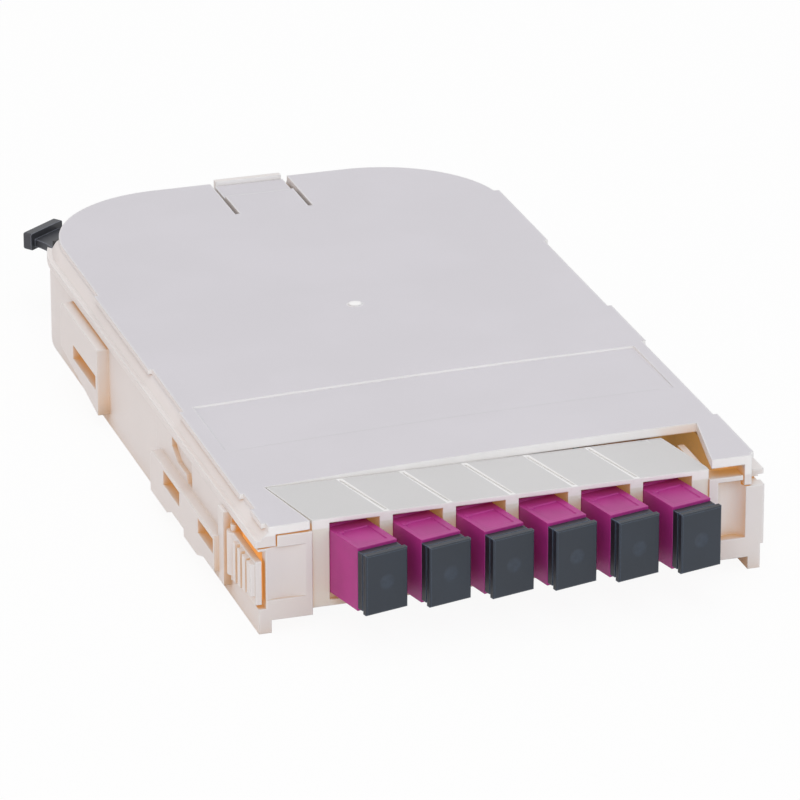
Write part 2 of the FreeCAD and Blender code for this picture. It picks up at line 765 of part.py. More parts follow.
# ------------------------------------------------------------------ multi-fibre coupler
def multi_coupler():
    """Multi-fibre coupler in its own frame; local Y is its outward direction."""
    w = multi_w / 2
    h = multi_h / 2
    body = box(-w, w, -multi_in, multi_out, -h, h)
    outer = box(-multi_port_w / 2, multi_port_w / 2, -multi_in / 2 + 0.8, multi_out + 1,
                -multi_port_h / 2, multi_port_h / 2)
    inner = box(-multi_port_w / 2, multi_port_w / 2, -multi_in - 1, -multi_in / 2 - 0.8,
                -multi_port_h / 2, multi_port_h / 2)
    web = box(-3.4, 3.4, -multi_in, multi_out, -1.5, 1.5)
    key = box(-1.4, 1.4, -multi_in / 2 + 0.8, multi_out + 1, 0, multi_port_h / 2 + 0.6)
    return body.cut(outer).cut(inner).cut(web).cut(key).removeSplitter()


def multi_plug():
    """Multi-fibre plug seated in the coupler from inside the tray."""
    start = -multi_plug_start()
    end = start - multi_plug_len
    housing = box(-multi_plug_w / 2, multi_plug_w / 2, end, start,
                  -multi_plug_h / 2, multi_plug_h / 2)
    ferrule = box(-3.2, 3.2, start - 0.5, start + 3.0, -1.25, 1.25)
    boot = Part.makeCone(multi_boot_d / 2, bundle_d / 2 + 0.8, multi_boot_len,
                         V(0, end, 0), V(0, -1, 0))
    ribs = []
    for index in range(5):
        y = end + 2.0 + index * 1.6
        ribs.append(box(-multi_plug_w / 2 - 0.4, multi_plug_w / 2 + 0.4, y, y + 0.8, -2.6, 2.6))
    return housing.fuse([ferrule, boot] + ribs).removeSplitter()


def multi_cap():
    """T-shaped pull-off cap of the multi-fibre coupler."""
    low = grip_rise - grip_h / 2
    plate = box(-grip_w / 2, grip_w / 2, grip_reach - grip_t, grip_reach, low, low + grip_h)
    plate = plate.makeFillet(0.5, [e for e in plate.Edges if abs(e.CenterOfMass.y -
                                   grip_reach) < 0.01 or e.Length < grip_t + 0.01])
    neck_start = multi_out + 0.4
    neck_end = grip_reach - grip_t + 0.1
    middle = (neck_start + neck_end) / 2
    root = grip_root_w / 2
    half = grip_neck_w / 2
    bend = half + grip_flare * (root - half)
    outline = [
        Part.Arc(V(-root, neck_start, 0), V(-bend, middle, 0), V(-half, neck_end, 0)).toShape(),
        Part.LineSegment(V(-half, neck_end, 0), V(half, neck_end, 0)).toShape(),
        Part.Arc(V(half, neck_end, 0), V(bend, middle, 0), V(root, neck_start, 0)).toShape(),
        Part.LineSegment(V(root, neck_start, 0), V(-root, neck_start, 0)).toShape(),
    ]
    neck = Part.Face(Part.Wire(outline)).extrude(V(0, 0, grip_neck_h))
    neck.translate(V(0, 0, grip_rise - grip_neck_drop - grip_neck_h / 2))
    collar = box(-multi_port_w / 2, multi_port_w / 2, multi_out + touch, multi_out + 0.8,
                 -multi_port_h / 2, multi_port_h / 2)
    gap = cap_plug_gap
    plug = box(-multi_port_w / 2 + gap, multi_port_w / 2 - gap, -6.0, multi_out + 0.5,
               -multi_port_h / 2 + gap, multi_port_h / 2 - gap)
    hollow = box(-4.4, 4.4, -7.0, -1.0, -2.6, 2.6)
    return plate.fuse([neck, collar, plug]).cut(hollow).removeSplitter()


# ------------------------------------------------------------------ cover
def cover_plate():
    """Top plate with its front cut-out."""
    plate = offset_plan(0, ear_front, cover_top - cover_t, cover_top)
    notch = prism([(-notch_rear_half, notch_rear), (notch_rear_half, notch_rear),
                   (notch_front_half + 0.6, 2.2), (notch_front_half, ear_front - 1),
                   (-notch_front_half, ear_front - 1)],
                  cover_top - cover_t - 5, cover_top + 1)
    return plate, notch


def skirt_foot():
    """Slanted foot between the cover's skirt and its flange."""
    low = wall_top + flange_t / 2
    high = wall_top + flange_t + slope_h
    block = offset_plan(slope_out, ear_front, low, high)
    rim = [edge for edge in block.Edges
           if edge.BoundBox.ZMin > high - 0.01 and edge.CenterOfMass.y > ear_front + 0.01]
    block = block.makeChamfer(slope_h - 0.02, rim)
    tongue = snap_half + snap_slot
    gap = box(-tongue, tongue, snap_root, cover_length + flange_out + 1, low - 1, high + 1)
    return block.cut(offset_plan(-skirt_t / 2, ear_front - 1, low - 1, high + 1)).cut(gap)


def front_wing():
    """Wider stretch that the right flange starts with."""
    top = wall_top + flange_t
    return box(cover_half - skirt_t / 2, cover_half + flange_out + wing_out, wing[0], wing[1],
               top - wing_t, top)


def flange_relief():
    """Where the flange and its foot are left out: above the post and round the rear coupler."""
    low = wall_top - 1
    high = cover_top - tab_t
    half = relief_half
    rear = into_corner(box(-half, half, -corner_r / 2, corner_r / 2, low - multi_z, high - multi_z))
    rear = rear.cut(offset_plan(0, ear_front - 1, 0, cover_top))
    return box(cover_half, cover_half + 2 * flange_out, ear_front - 1, wing[0], low, high), rear


def cover_edge_tabs():
    """Thin tongues along the cover's edges, staggered left and right."""
    low = cover_top - tab_t
    pieces = []
    for y0, y1 in left_tabs:
        pieces.append(box(-cover_half - tab_out, -cover_half + 1, y0, y1, low, cover_top))
    for y0, y1 in right_tabs:
        pieces.append(box(cover_half - 1, cover_half + tab_out, y0, y1, low, cover_top))
    return pieces


def label_recess():
    """Shallow wedge-shaped field for a label, deepest at its rear edge."""
    half = cover_half - label_inset
    return side_prism([(label_front, cover_top - 0.08), (label_front, cover_top + 1),
                       (label_rear, cover_top + 1), (label_rear, cover_top - label_deep)],
                      -half, half)


def snap_cuts():
    """Slots beside the snap tongue and the step near its tip."""
    low = cover_top - cover_t - 6
    cuts = []
    for side in (-1, 1):
        x = side * (snap_half + snap_slot / 2)
        cuts.append(box(x - snap_slot / 2, x + snap_slot / 2, snap_root, cover_length + 9,
                        low, cover_top + 1))
    cuts.append(box(-snap_half, snap_half, snap_step, cover_length + 9,
                    cover_top - snap_drop, cover_top + 1))
    cuts.append(box(-snap_half, snap_half, snap_root + snap_hollow, cover_length + 9,
                    low, cover_top - cover_t))
    return cuts


def cover():
    """The one-piece snap cover."""
    plate, notch = cover_plate()
    skirt = offset_plan(0, ear_front, wall_top, cover_top - cover_t)
    skirt = skirt.cut(offset_plan(-skirt_t, ear_front - 1, wall_top - 1, cover_top))
    flange = offset_plan(flange_out, ear_front, wall_top, wall_top + flange_t)
    flange = flange.cut(offset_plan(-skirt_t, ear_front - 1, wall_top - 1, cover_top))
    rim = flange.fuse(skirt_foot()).cut(flange_relief()).fuse(front_wing())
    body = plate.fuse([skirt, rim] + cover_edge_tabs())
    gate = rod(gate_d, 2 * gate_up, V(0, cover_length - corner_r - gate_back, cover_top - gate_up))
    body = body.cut(notch).cut(label_recess())
    for cut in snap_cuts():
        body = body.cut(cut)
    return body.fuse(gate).removeSplitter()


# ------------------------------------------------------------------ assembly
def main():
    os.makedirs("parts", exist_ok=True)
    export("tray", tray())
    export("cover", cover())
    export("coupler_frame", coupler_frame())
    export("release_lever_left", release_lever(-1))
    export("release_lever_right", release_lever(1))
    body = coupler()
    pair = sleeves()
    cap = dust_cap()
    for index in range(coupler_count):
        number = str(index + 1)
        export("coupler_" + number, into_bay(body, index))
        export("sleeves_" + number, into_bay(pair, index))
        export("dust_cap_" + number, into_bay(cap, index))
        for row, letter in enumerate("ab"):
            z = (row - 0.5) * port_pitch
            export("plug_" + number + letter, into_bay(inner_plug(z), index))
            name = "fibre_" + number + letter
            export(name, tube_along(fibre_route(index, row), fibre_d, name))
    export("fan_out_block", fan_out())
    export("fibre_bundle", tube_along(bundle_route(), bundle_d, "fibre_bundle"))
    export("multi_coupler", into_corner(multi_coupler()))
    export("multi_plug", into_corner(multi_plug()))
    export("multi_cap", into_corner(multi_cap()))


main()
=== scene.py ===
import bpy
import bmesh
import math
from mathutils import Matrix, Vector


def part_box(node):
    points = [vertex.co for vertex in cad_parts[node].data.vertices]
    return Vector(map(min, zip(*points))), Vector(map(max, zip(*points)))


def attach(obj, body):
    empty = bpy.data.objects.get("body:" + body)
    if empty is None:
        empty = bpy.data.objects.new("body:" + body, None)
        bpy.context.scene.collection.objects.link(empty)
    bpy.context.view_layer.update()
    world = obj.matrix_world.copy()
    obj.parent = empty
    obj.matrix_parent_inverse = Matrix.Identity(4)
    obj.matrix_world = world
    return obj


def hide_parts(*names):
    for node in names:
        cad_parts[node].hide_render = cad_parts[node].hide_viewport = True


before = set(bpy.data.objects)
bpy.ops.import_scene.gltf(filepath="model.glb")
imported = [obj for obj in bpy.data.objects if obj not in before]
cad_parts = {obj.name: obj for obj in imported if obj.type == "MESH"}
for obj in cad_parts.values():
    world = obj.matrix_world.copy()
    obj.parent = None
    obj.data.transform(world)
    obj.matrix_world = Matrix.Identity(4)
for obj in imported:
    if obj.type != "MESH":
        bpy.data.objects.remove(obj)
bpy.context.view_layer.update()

bl_info = {
    "name": "Fibre cassette dressing",
    "version": (1, 0, 0),
    "blender": (4, 5, 0),
    "location": "3D View > Sidebar > Cassette",
    "description": "Finishes, cover shape and studio for the fibre cassette",
    "category": "Object",
}

MM = 0.001
COUPLERS = range(1, 7)
PITCH = 13.0 * MM                       # from one bay, coupler or cap to the next

# Marks on the pieces, where painted highlights, painted sheen and a painted shade line go. A pair of
# lengths is where a mask is full and where it is gone.
GATE = (0.0, 12.0 * MM, 23.0 * MM)      # middle of the cover's moulding mark
GATE_EDGE = (1.3 * MM, 2.3 * MM)
LABEL_LINE = -54.0 * MM                 # painted shade line along the small step before the label field, along Y
LABEL_LINE_EDGE = (0.1 * MM, 0.3 * MM)
LABEL_LINE_END = (44.0 * MM, 45.0 * MM)
CAP_MIDDLE = (9.13 * MM, 13.5 * MM)     # middle of one cap, along the row and up
CAP_MARK_EDGE = (0.9 * MM, 1.9 * MM)
BAY_LINE = (0.2 * MM, -92.0 * MM)       # front end of the middle line between the bays
BAY_LEAN = math.tan(math.radians(13.5))  # the lines lean as the turned couplers do
BAY_BAND_EDGE = (0.45 * MM, 0.75 * MM)
BAY_BAND_END = (34.0 * MM, 35.0 * MM)

# Where the painted light and shade change. A pair of lengths is where a ramp starts and where it
# ends.
UPPER_TONE = (20.9 * MM, 22.2 * MM)     # heights at which the upper faces' painted top-light tone sets in
FRONT_LIT_HEIGHTS = (20.4 * MM, 20.9 * MM)       # heights at which front faces turn to the painted highlight white
BAND_TONE = (21.3 * MM, 21.5 * MM)      # heights at which the painted highlight bands between the bays start
OPEN_TOP = (21.6 * MM, 22.1 * MM)       # no painted warm light or painted glowing above these heights
DARK_FLOOR = (3.0 * MM, 6.0 * MM)       # no painted glowing below these heights
NEAR_WALL = (38.0 * MM, 43.0 * MM)      # the tray gets painted warm light only this far from the middle
REAR_END = (56.0 * MM, 62.0 * MM)       # and only in front of these places along Y
INNER_WALL = (50.4 * MM, 50.7 * MM)     # inner face of the side walls from the middle
FRONT_END = (-89.0 * MM, -87.0 * MM)    # behind these places the inner walls get the most painted glowing
GAP_REACH = 30.0 * MM                   # how far around a point a gap is felt
SLOT_LIGHT = 0.05                       # extra painted glowing of the tray's narrow slots
SLOT_REACH = 8.0 * MM
CAP_REACH = 1.6 * MM
SKY_RAYS = 8                            # samples of the nodes that look for gaps and edges
EDGE_RAYS = 6

# The cover's bow and the grid that lets it bend.
BOW_ACROSS = (-46.0 * MM, 92.0 * MM)    # start and length of the bow along X
BOW_ALONG = (-74.0 * MM, 166.0 * MM)    # start and length of the bow along Y
BOW_UP = (1.5 * MM, 1.0 * MM)           # flat height at the flange, and height to full bow
COVER_GRID = (14, 22)

# Inner pieces: colour and roughness.
CERAMIC = ([0.86, 0.85, 0.80], 0.16)
PLUG = ([0.42, 0.06, 0.24], 0.36)
CORNER_COUPLER = ([0.012, 0.012, 0.014], 0.42)
FAN_OUT = ([0.02, 0.02, 0.022], 0.5)
JACKET_ROUGH = 0.3
BUNDLE_ROUGH = 0.34

# Stage: the camera's place and axes, and each lamp's place, size, power and tint.
CAMERA_PLACE = (-0.35073, -1.12285, 0.49313)
CAMERA_ACROSS = (0.95277, -0.30370, -0.00210)
CAMERA_UP = (0.11792, 0.36356, 0.92409)
AIM = (0.0, 0.0, 0.01)
LAMPS = {
    "key": ((-0.35, -1.15, 0.95), 0.9, 4.7, (1.0, 1.0, 1.0)),
    "left": ((-1.20, -0.25, 0.40), 0.8, 2.4, (1.0, 0.74, 0.64)),
    "top": ((0.15, 0.35, 1.30), 1.1, 4.8, (1.0, 1.0, 1.0)),
    "side": ((0.85, -0.90, 0.50), 0.8, 2.3, (0.88, 0.95, 1.0)),
}
FLOOR_GREY = (0.86, 0.86, 0.86)
FLOOR_WHITE = 0.93                      # share of plain white where the floor is seen


# ---------------------------------------------------------------- shader sums
class Value:
    """A number socket that adds, takes away and multiplies as Python numbers do."""

    def __init__(self, graph, socket):
        self.graph = graph
        self.socket = socket

    def sum_node(self, operation, first, second):
        made = self.graph.node("ShaderNodeMath", {"operation": operation}, {0: first, 1: second})
        return Value(self.graph, made.outputs[0])

    def __add__(self, other):
        return self.sum_node("ADD", self, other)

    def __radd__(self, other):
        return self.sum_node("ADD", other, self)

    def __sub__(self, other):
        return self.sum_node("SUBTRACT", self, other)

    def __rsub__(self, other):
        return self.sum_node("SUBTRACT", other, self)

    def __mul__(self, other):
        return self.sum_node("MULTIPLY", self, other)

    def __rmul__(self, other):
        return self.sum_node("MULTIPLY", other, self)


class Graph:
    """The node tree of a material or a world while it is put together."""

    def __init__(self, owner):
        owner.use_nodes = True
        self.owner = owner
        self.tree = owner.node_tree
        self.tree.nodes.clear()

    def node(self, kind, settings=None, sockets=None):
        """A node with its settings first, then the values or links of its sockets."""
        made = self.tree.nodes.new(kind)
        for key, setting in (settings or {}).items():
            setattr(made, key, setting)
        for key, given in (sockets or {}).items():
            if isinstance(given, Value):
                given = given.socket
            if isinstance(given, bpy.types.NodeSocket):
                self.tree.links.new(given, made.inputs[key])
            elif hasattr(given, "__len__") and len(given) == 3 and made.inputs[key].type == "RGBA":
                made.inputs[key].default_value = (*given, 1.0)
            else:
                made.inputs[key].default_value = given
        return made

    def value(self, kind, settings=None, sockets=None, output=0):
        return Value(self, self.node(kind, settings, sockets).outputs[output])

    def place(self):
        """Position on the object in its own frame."""
        return self.node("ShaderNodeTexCoord").outputs["Object"]

    def parts(self, vector):
        """The three numbers of a vector."""
        made = self.node("ShaderNodeSeparateXYZ", {}, {"Vector": vector})
        return [Value(self, made.outputs[axis]) for axis in "XYZ"]

    def noise(self, scale, detail=2.0, roughness=0.5):
        return self.value("ShaderNodeTexNoise", {}, {
            "Vector": self.place(), "Scale": scale, "Detail": detail, "Roughness": roughness})

    def mix(self, factor, first, second, blend="MIX"):
        made = self.node("ShaderNodeMix", {"data_type": "RGBA", "blend_type": blend},
                         {0: factor, 6: first, 7: second})
        return made.outputs[2]

    def ramp(self, factor, low, high):
        """0 below low, 1 above high, smooth between."""
        return self.value("ShaderNodeMapRange", {"interpolation_type": "SMOOTHSTEP"},
                          {"Value": factor, "From Min": low, "From Max": high})

    def within(self, offset, near, far):
        """1 where an offset is nearer to zero than near, 0 where it is beyond far."""
        return 1.0 - self.ramp(offset * offset, near ** 2, far ** 2)

    def repeat(self, offset):
        """An offset that starts again with every bay."""
        return self.value("ShaderNodeMath", {"operation": "WRAP"},
                          {0: offset, 1: PITCH / 2, 2: -PITCH / 2})

    def facing(self):
        """The three numbers of the face's direction on the object."""
        return self.parts(self.node("ShaderNodeTexCoord").outputs["Normal"])

    def open_sky(self, distance):
        """1 on open faces, falling towards 0 deep inside slots and gaps."""
        made = self.node("ShaderNodeAmbientOcclusion", {"samples": SKY_RAYS}, {"Distance": distance})
        return Value(self, made.outputs["AO"])

    def edges(self, radius):
        """1 on sharp edges and corners, 0 on flat faces."""
        soft = self.node("ShaderNodeBevel", {"samples": EDGE_RAYS}, {"Radius": radius})
        flat = self.node("ShaderNodeNewGeometry")
        bend = self.value("ShaderNodeVectorMath", {"operation": "DOT_PRODUCT"},
                          {0: soft.outputs[0], 1: flat.outputs["Normal"]}, "Value")
        return self.ramp(1.0 - bend, 0.03, 0.22)

    def seen(self):
        """1 for what is seen straight, in a reflection or through glass, 0 for lighting."""
        path = self.node("ShaderNodeLightPath")
        direct, glossy, through = (Value(self, path.outputs["Is %s Ray" % kind])
                                   for kind in ("Camera", "Glossy", "Transmission"))
        return direct + glossy + through

    def plastic(self, colour, roughness, specular, grain, depth, edge, extra=None):
        """Moulded plastic with rounded edges and a fine surface."""
        rounded = self.node("ShaderNodeBevel", {"samples": EDGE_RAYS}, {"Radius": edge})
        normal = self.node("ShaderNodeBump", {}, {
            "Height": grain, "Distance": depth, "Strength": 1.0, "Normal": rounded.outputs[0]})
        sockets = {"Base Color": colour, "Roughness": roughness, "Specular IOR Level": specular,
                   "Normal": normal.outputs[0]}
        sockets.update(extra or {})
        shader = self.node("ShaderNodeBsdfPrincipled", {}, sockets)
        self.node("ShaderNodeOutputMaterial", {}, {"Surface": shader.outputs[0]})
        return self.owner


def finish_graph(name):
    return Graph(bpy.data.materials.new(name))


# ---------------------------------------------------------------- finishes
def tinted(colour, share):
    """A colour scaled as a whole, and never above white."""
    return [min(1.0, part * share) for part in colour]


def cover_marks(make, colours, shade, upper):
    """The shade with a painted highlight on the moulding mark and a fine painted shade line along
    the small step before the label field.
    """
    across, along, _ = make.parts(make.place())
    away = make.value("ShaderNodeVectorMath", {"operation": "DISTANCE"},
                      {0: make.place(), 1: GATE}, "Value")
    # Painted highlight: the moulding mark is painted in the highlight white.
    shade = make.mix(1.0 - make.ramp(away, *GATE_EDGE), shade, colours.painted_highlight)
    # Painted shade: a fine grey line along the small step before the label field, on the upper
    # faces.
    line = make.within(along - LABEL_LINE, *LABEL_LINE_EDGE)
    line = line * make.within(across, *LABEL_LINE_END)
    return make.mix(line * upper * 0.12, shade, (0.2, 0.2, 0.2))


def bay_bands(make):
    """1 along the lines between the bays, on the bays' upper faces, where the ridges get a painted
    highlight.
    """
    across, along, height = make.parts(make.place())
    run = across + (along - BAY_LINE[1]) * BAY_LEAN
    band = make.within(make.repeat(run - BAY_LINE[0]), *BAY_BAND_EDGE)
    return band * make.ramp(height, *BAND_TONE) * make.within(across, *BAY_BAND_END)


def slot_glow(make, colours, shade, closed, slots):
    """The shade with painted warm bounce light in slots and gaps, and how strongly these get a
    painted glowing that stands in for light through the walls.

    With slots, the painted warm light keeps to the side walls and reaches into their windows."""
    # Painted light: deep in gaps the base colour turns to the warm painted bounce light, and the
    # gaps get painted glowing from emission.
    shut = (1.0 - make.ramp(make.open_sky(GAP_REACH), 0.04, 0.55)) * closed
    if not slots:
        return make.mix(shut * 0.7, shade, colours.painted_glow), shut * 0.24
    across, along, _ = make.parts(make.place())
    beside = make.ramp(across * across, NEAR_WALL[0] ** 2, NEAR_WALL[1] ** 2)
    beside = beside * (1.0 - make.ramp(along, *REAR_END))
    shut = shut * beside
    # Painted warm bounce light, kept near the side walls.
    shade = make.mix(shut * 0.7, shade, colours.painted_glow)
    # Painted glowing is strongest on the inner faces of the side walls.
    walled = make.within(across, *INNER_WALL) * make.ramp(along, *FRONT_END)
    # Painted light: deeper in the tray's slots and windows the warm tone is full and the painted
    # glowing stronger.
    deep = (1.0 - make.ramp(make.open_sky(SLOT_REACH), 0.06, 0.64)) * beside
    shade = make.mix(deep, shade, colours.painted_glow)
    return shade, shut * (0.24 + walled * 0.5) + deep * deep * SLOT_LIGHT


def shell_finish(name, colours, top, side, slots=False, marked=False, ridge_highlights=False):
    """Pale satin plastic with painted light: a cooler, darker tone on the upper faces for the light
    from above, a warmer one on the rest, painted highlights on edges and front faces, and painted
    warm bounce light and painted glowing deep in slots and gaps, standing in for light through the
    walls.

    The cover gets a painted highlight on its moulding mark and a painted shade line before the label
    field, the frame painted highlights along the ridges between its bays, and the tray has slots."""
    make = finish_graph(name)
    cloud = make.noise(38.0, 3.0)
    grain = make.noise(5200.0, 2.0, 0.6)
    speck = make.noise(900.0, 3.0, 0.55)
    height = make.parts(make.place())[2]
    _, rearward, upward = make.facing()
    upper = make.ramp(height, *UPPER_TONE) * make.ramp(upward, 0.5, 0.9)
    front_lit = make.ramp(height, *FRONT_LIT_HEIGHTS) * make.ramp(0.0 - rearward, 0.4, 0.8)
    # Painted light: the upper faces take the top tone, cooler and darker for the light from above,
    # the other faces the warmer side tone.
    shade = make.mix(upper, side, top)
    # Painted highlight: front faces above these heights turn white where they face the lamps.
    shade = make.mix(front_lit * 0.85, shade, colours.painted_highlight)
    # Painted highlight along sharp edges.
    shade = make.mix(make.edges(0.9 * MM) * 0.7, shade, colours.painted_highlight)
    if marked:
        shade = cover_marks(make, colours, shade, upper)
    closed = (1.0 - front_lit) * (1.0 - make.ramp(height, *OPEN_TOP))
    if ridge_highlights:
        # Painted highlight: pale bands along the ridges between the bays, kept free of painted
        # glowing.
        band = bay_bands(make)
        shade = make.mix(band * 0.75, shade, colours.painted_highlight)
        closed = closed * (1.0 - band)
    dull = make.mix(1.0, shade, (0.97, 0.97, 0.968), "MULTIPLY")
    shade = make.mix(make.ramp(cloud, 0.35, 0.7), dull, shade)
    shade, painted_glow = slot_glow(make, colours, shade, closed, slots)
    rough = 0.40 + cloud * 0.08 + speck * 0.05
    relief = grain * 0.6 + speck * 0.4
    # Painted glowing: emission in the warm tone, so slots and gaps shine as if lit through the
    # walls.
    inner = painted_glow * make.ramp(height, *DARK_FLOOR)
    lit = {"Emission Color": make.mix(inner, (0.0, 0.0, 0.0), colours.painted_glow),
           "Emission Strength": 1.0}
    return make.plastic(shade, rough, 0.45, relief, 0.012 * MM, 0.38 * MM, lit)


def coupler_finish(colour):
    """Deep pink moulded coupler body, with a painted highlight along its edges."""
    make = finish_graph("coupler_body")
    cloud = make.noise(160.0, 3.0)
    grain = make.noise(5200.0, 2.0)
    shade = make.mix(make.ramp(cloud, 0.3, 0.75), tinted(colour, 0.85), colour)
    # Painted highlight: edges turn a lighter pink.
    shade = make.mix(make.edges(0.5 * MM) * 0.35, shade, tinted(colour, 1.6))
    rough = 0.34 + cloud * 0.1
    return make.plastic(shade, rough, 0.42, grain, 0.008 * MM, 0.3 * MM)


def cap_finish(name, colour, marked):
    """Soft dark slate plastic of the pull-off caps, with painted highlights along its edges and
    painted shade in its grooves.

    The marked ones also get painted shade on the faces other than the plate's front, and a painted
    sheen on the moulding mark in the middle of the plate."""
    make = finish_graph(name)
    cloud = make.noise(120.0, 3.0)
    grain = make.noise(4200.0, 2.0)
    shade = make.mix(make.ramp(cloud, 0.3, 0.75), colour, tinted(colour, 1.2))
    if marked:
        across, _, height = make.parts(make.place())
        plate = make.ramp(0.0 - make.facing()[1], 0.6, 0.9)
        # Painted shade: the faces other than the plate's front are darker.
        shade = make.mix(plate, tinted(colour, 0.5), shade)
        side = make.repeat(across - CAP_MIDDLE[0])
        up = height - CAP_MIDDLE[1]
        near, far = CAP_MARK_EDGE
        # Painted sheen: the moulding mark is paler, broken up by noise.
        mark = 1.0 - make.ramp(side * side + up * up, near ** 2, far ** 2)
        sheen_patchiness = make.ramp(make.noise(900.0, 2.0), 0.3, 0.7)
        mark = mark * plate * (0.5 + sheen_patchiness * 0.5)
        shade = make.mix(mark * 0.5, shade, tinted(colour, 2.6))
    # Painted shade: darker deep in the grooves.
    open_side = make.ramp(make.open_sky(CAP_REACH), 0.25, 0.8)
    shade = make.mix(open_side, tinted(colour, 0.25), shade)
    # Painted highlight along the edges.
    shade = make.mix(make.edges(0.45 * MM) * 0.9, shade, tinted(colour, 7.0))
    rough = 0.38 + cloud * 0.12
    return make.plastic(shade, rough, 0.5, grain, 0.01 * MM, 0.22 * MM)


def inner_finish(name, colour, rough):
    """Plain satin moulding of the pieces inside."""
    make = finish_graph(name)
    cloud = make.noise(180.0, 3.0)
    grain = make.noise(3800.0, 2.0)
    shade = make.mix(make.ramp(cloud, 0.3, 0.7), tinted(colour, 0.82), colour)
    return make.plastic(shade, rough + cloud * 0.1, 0.5, grain, 0.008 * MM, 0.2 * MM)


def assign(finish, *names):
    for name in names:
        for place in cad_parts[name].material_slots:
            place.material = finish


# ---------------------------------------------------------------- cover shape
def bow(x, y, front, rear):
    """How far the cover's top stands up at a point: least at the front left."""
    across = min(max((x - BOW_ACROSS[0]) / BOW_ACROSS[1], 0.0), 1.0)
    across = 1.0 - (1.0 - across) ** 2
    along = min(max((y - BOW_ALONG[0]) / BOW_ALONG[1], 0.0), 1.0)
    return front * across * (1.0 - along) + rear * along


def cover_mesh(front, rear):
    """The cover's mesh cut into a grid and bowed upward."""
    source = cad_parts["cover"].data
    mesh = bmesh.new()
    mesh.from_mesh(source)
    bmesh.ops.remove_doubles(mesh, verts=mesh.verts, dist=1e-6)
    low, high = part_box("cover")
    for axis, count in enumerate(COVER_GRID):
        normal = Vector((0.0, 0.0, 0.0))
        normal[axis] = 1.0
        for step in range(1, count):
            point = Vector(low)
            point[axis] += (high[axis] - low[axis]) * step / count
            bmesh.ops.bisect_plane(mesh, geom=mesh.verts[:] + mesh.edges[:] + mesh.faces[:],
                                   plane_co=point, plane_no=normal, dist=1e-7)
    flat, full = BOW_UP
    for vert in mesh.verts:
        share = min(max((vert.co.z - low[2] - flat) / full, 0.0), 1.0)
        vert.co.z += bow(vert.co.x, vert.co.y, front, rear) * share
    made = bpy.data.meshes.new("cover_shell")
    mesh.to_mesh(made)
    mesh.free()
    return made


# ---------------------------------------------------------------- settings
def colour_property(label, note, default):
    return bpy.props.FloatVectorProperty(name=label, description=note, default=default,
                                         subtype="COLOR", size=3, min=0.0, max=1.0)


class CassetteColours(bpy.types.PropertyGroup):
    shell: colour_property("Tray", "Warm white of the tray and the levers", (0.77, 0.73, 0.72))
    # Painted light: Cover and Bays are the tones of the upper faces, cooler and darker than those of
    # the other faces (the tray's warm white on the cover, Bay fronts on the frame), for the light
    # from above and warm bounce light on the sides.
    cover: colour_property("Cover", "Cool white of the snap cover", (0.622, 0.603, 0.645))
    bays: colour_property("Bays", "White of the coupler frame", (0.60, 0.595, 0.60))
    mouths: colour_property("Bay fronts", "Cream of the coupler frame's front",
                            (0.78, 0.765, 0.70))
    # Painted highlight: bright white painted on thin edges, on front faces that face the lamps, on
    # the cover's moulding mark and along the ridges between the bays.
    painted_highlight: colour_property("Edges", "Bright white of thin edges and of the cover's lip",
                         (0.92, 0.915, 0.915))
    # Painted light: warm bounce light painted deep in gaps and windows, and the colour of their
    # painted glowing, which stands in for light through the thin walls.
    painted_glow: colour_property("Slot glow", "Warm tone deep in gaps and windows", (0.60, 0.32, 0.095))
    coupler: colour_property("Couplers", "Pink of the duplex couplers", (0.43, 0.030, 0.245))
    cap: colour_property("Caps", "Slate of the pull-off caps", (0.0148, 0.0216, 0.0335))
    grip: colour_property("Rear cap", "Grey of the rear cap with its grip", (0.034, 0.037, 0.046))
    fibre: colour_property("Fibres", "Aqua of the fibres' buffer", (0.08, 0.55, 0.58))


class CassetteShape(bpy.types.PropertyGroup):
    bow: bpy.props.FloatProperty(name="Cover bow", description="Rise of the cover's front right",
                                 default=2.1 * MM, min=0.0, max=4.0 * MM, unit="LENGTH")
    rise: bpy.props.FloatProperty(name="Rear rise", description="Rise of the cover's rear edge",
                                  default=0.95 * MM, min=0.0, max=3.0 * MM, unit="LENGTH")
    floor_size: bpy.props.FloatProperty(name="Floor", description="Side of the floor",
                                        default=8.0, min=1.0, max=40.0, unit="LENGTH")
    lens: bpy.props.FloatProperty(name="Lens", description="Focal length of the camera",
                                  default=271.26, min=10.0, max=1000.0, unit="CAMERA")
    sky: bpy.props.FloatProperty(name="Sky", description="Brightness of the soft surround",
                                 default=0.58, min=0.0, max=4.0)
    lamp: bpy.props.FloatProperty(name="Lamps", description="Scale of all lamp powers",
                                  default=1.0, min=0.0, max=10.0)


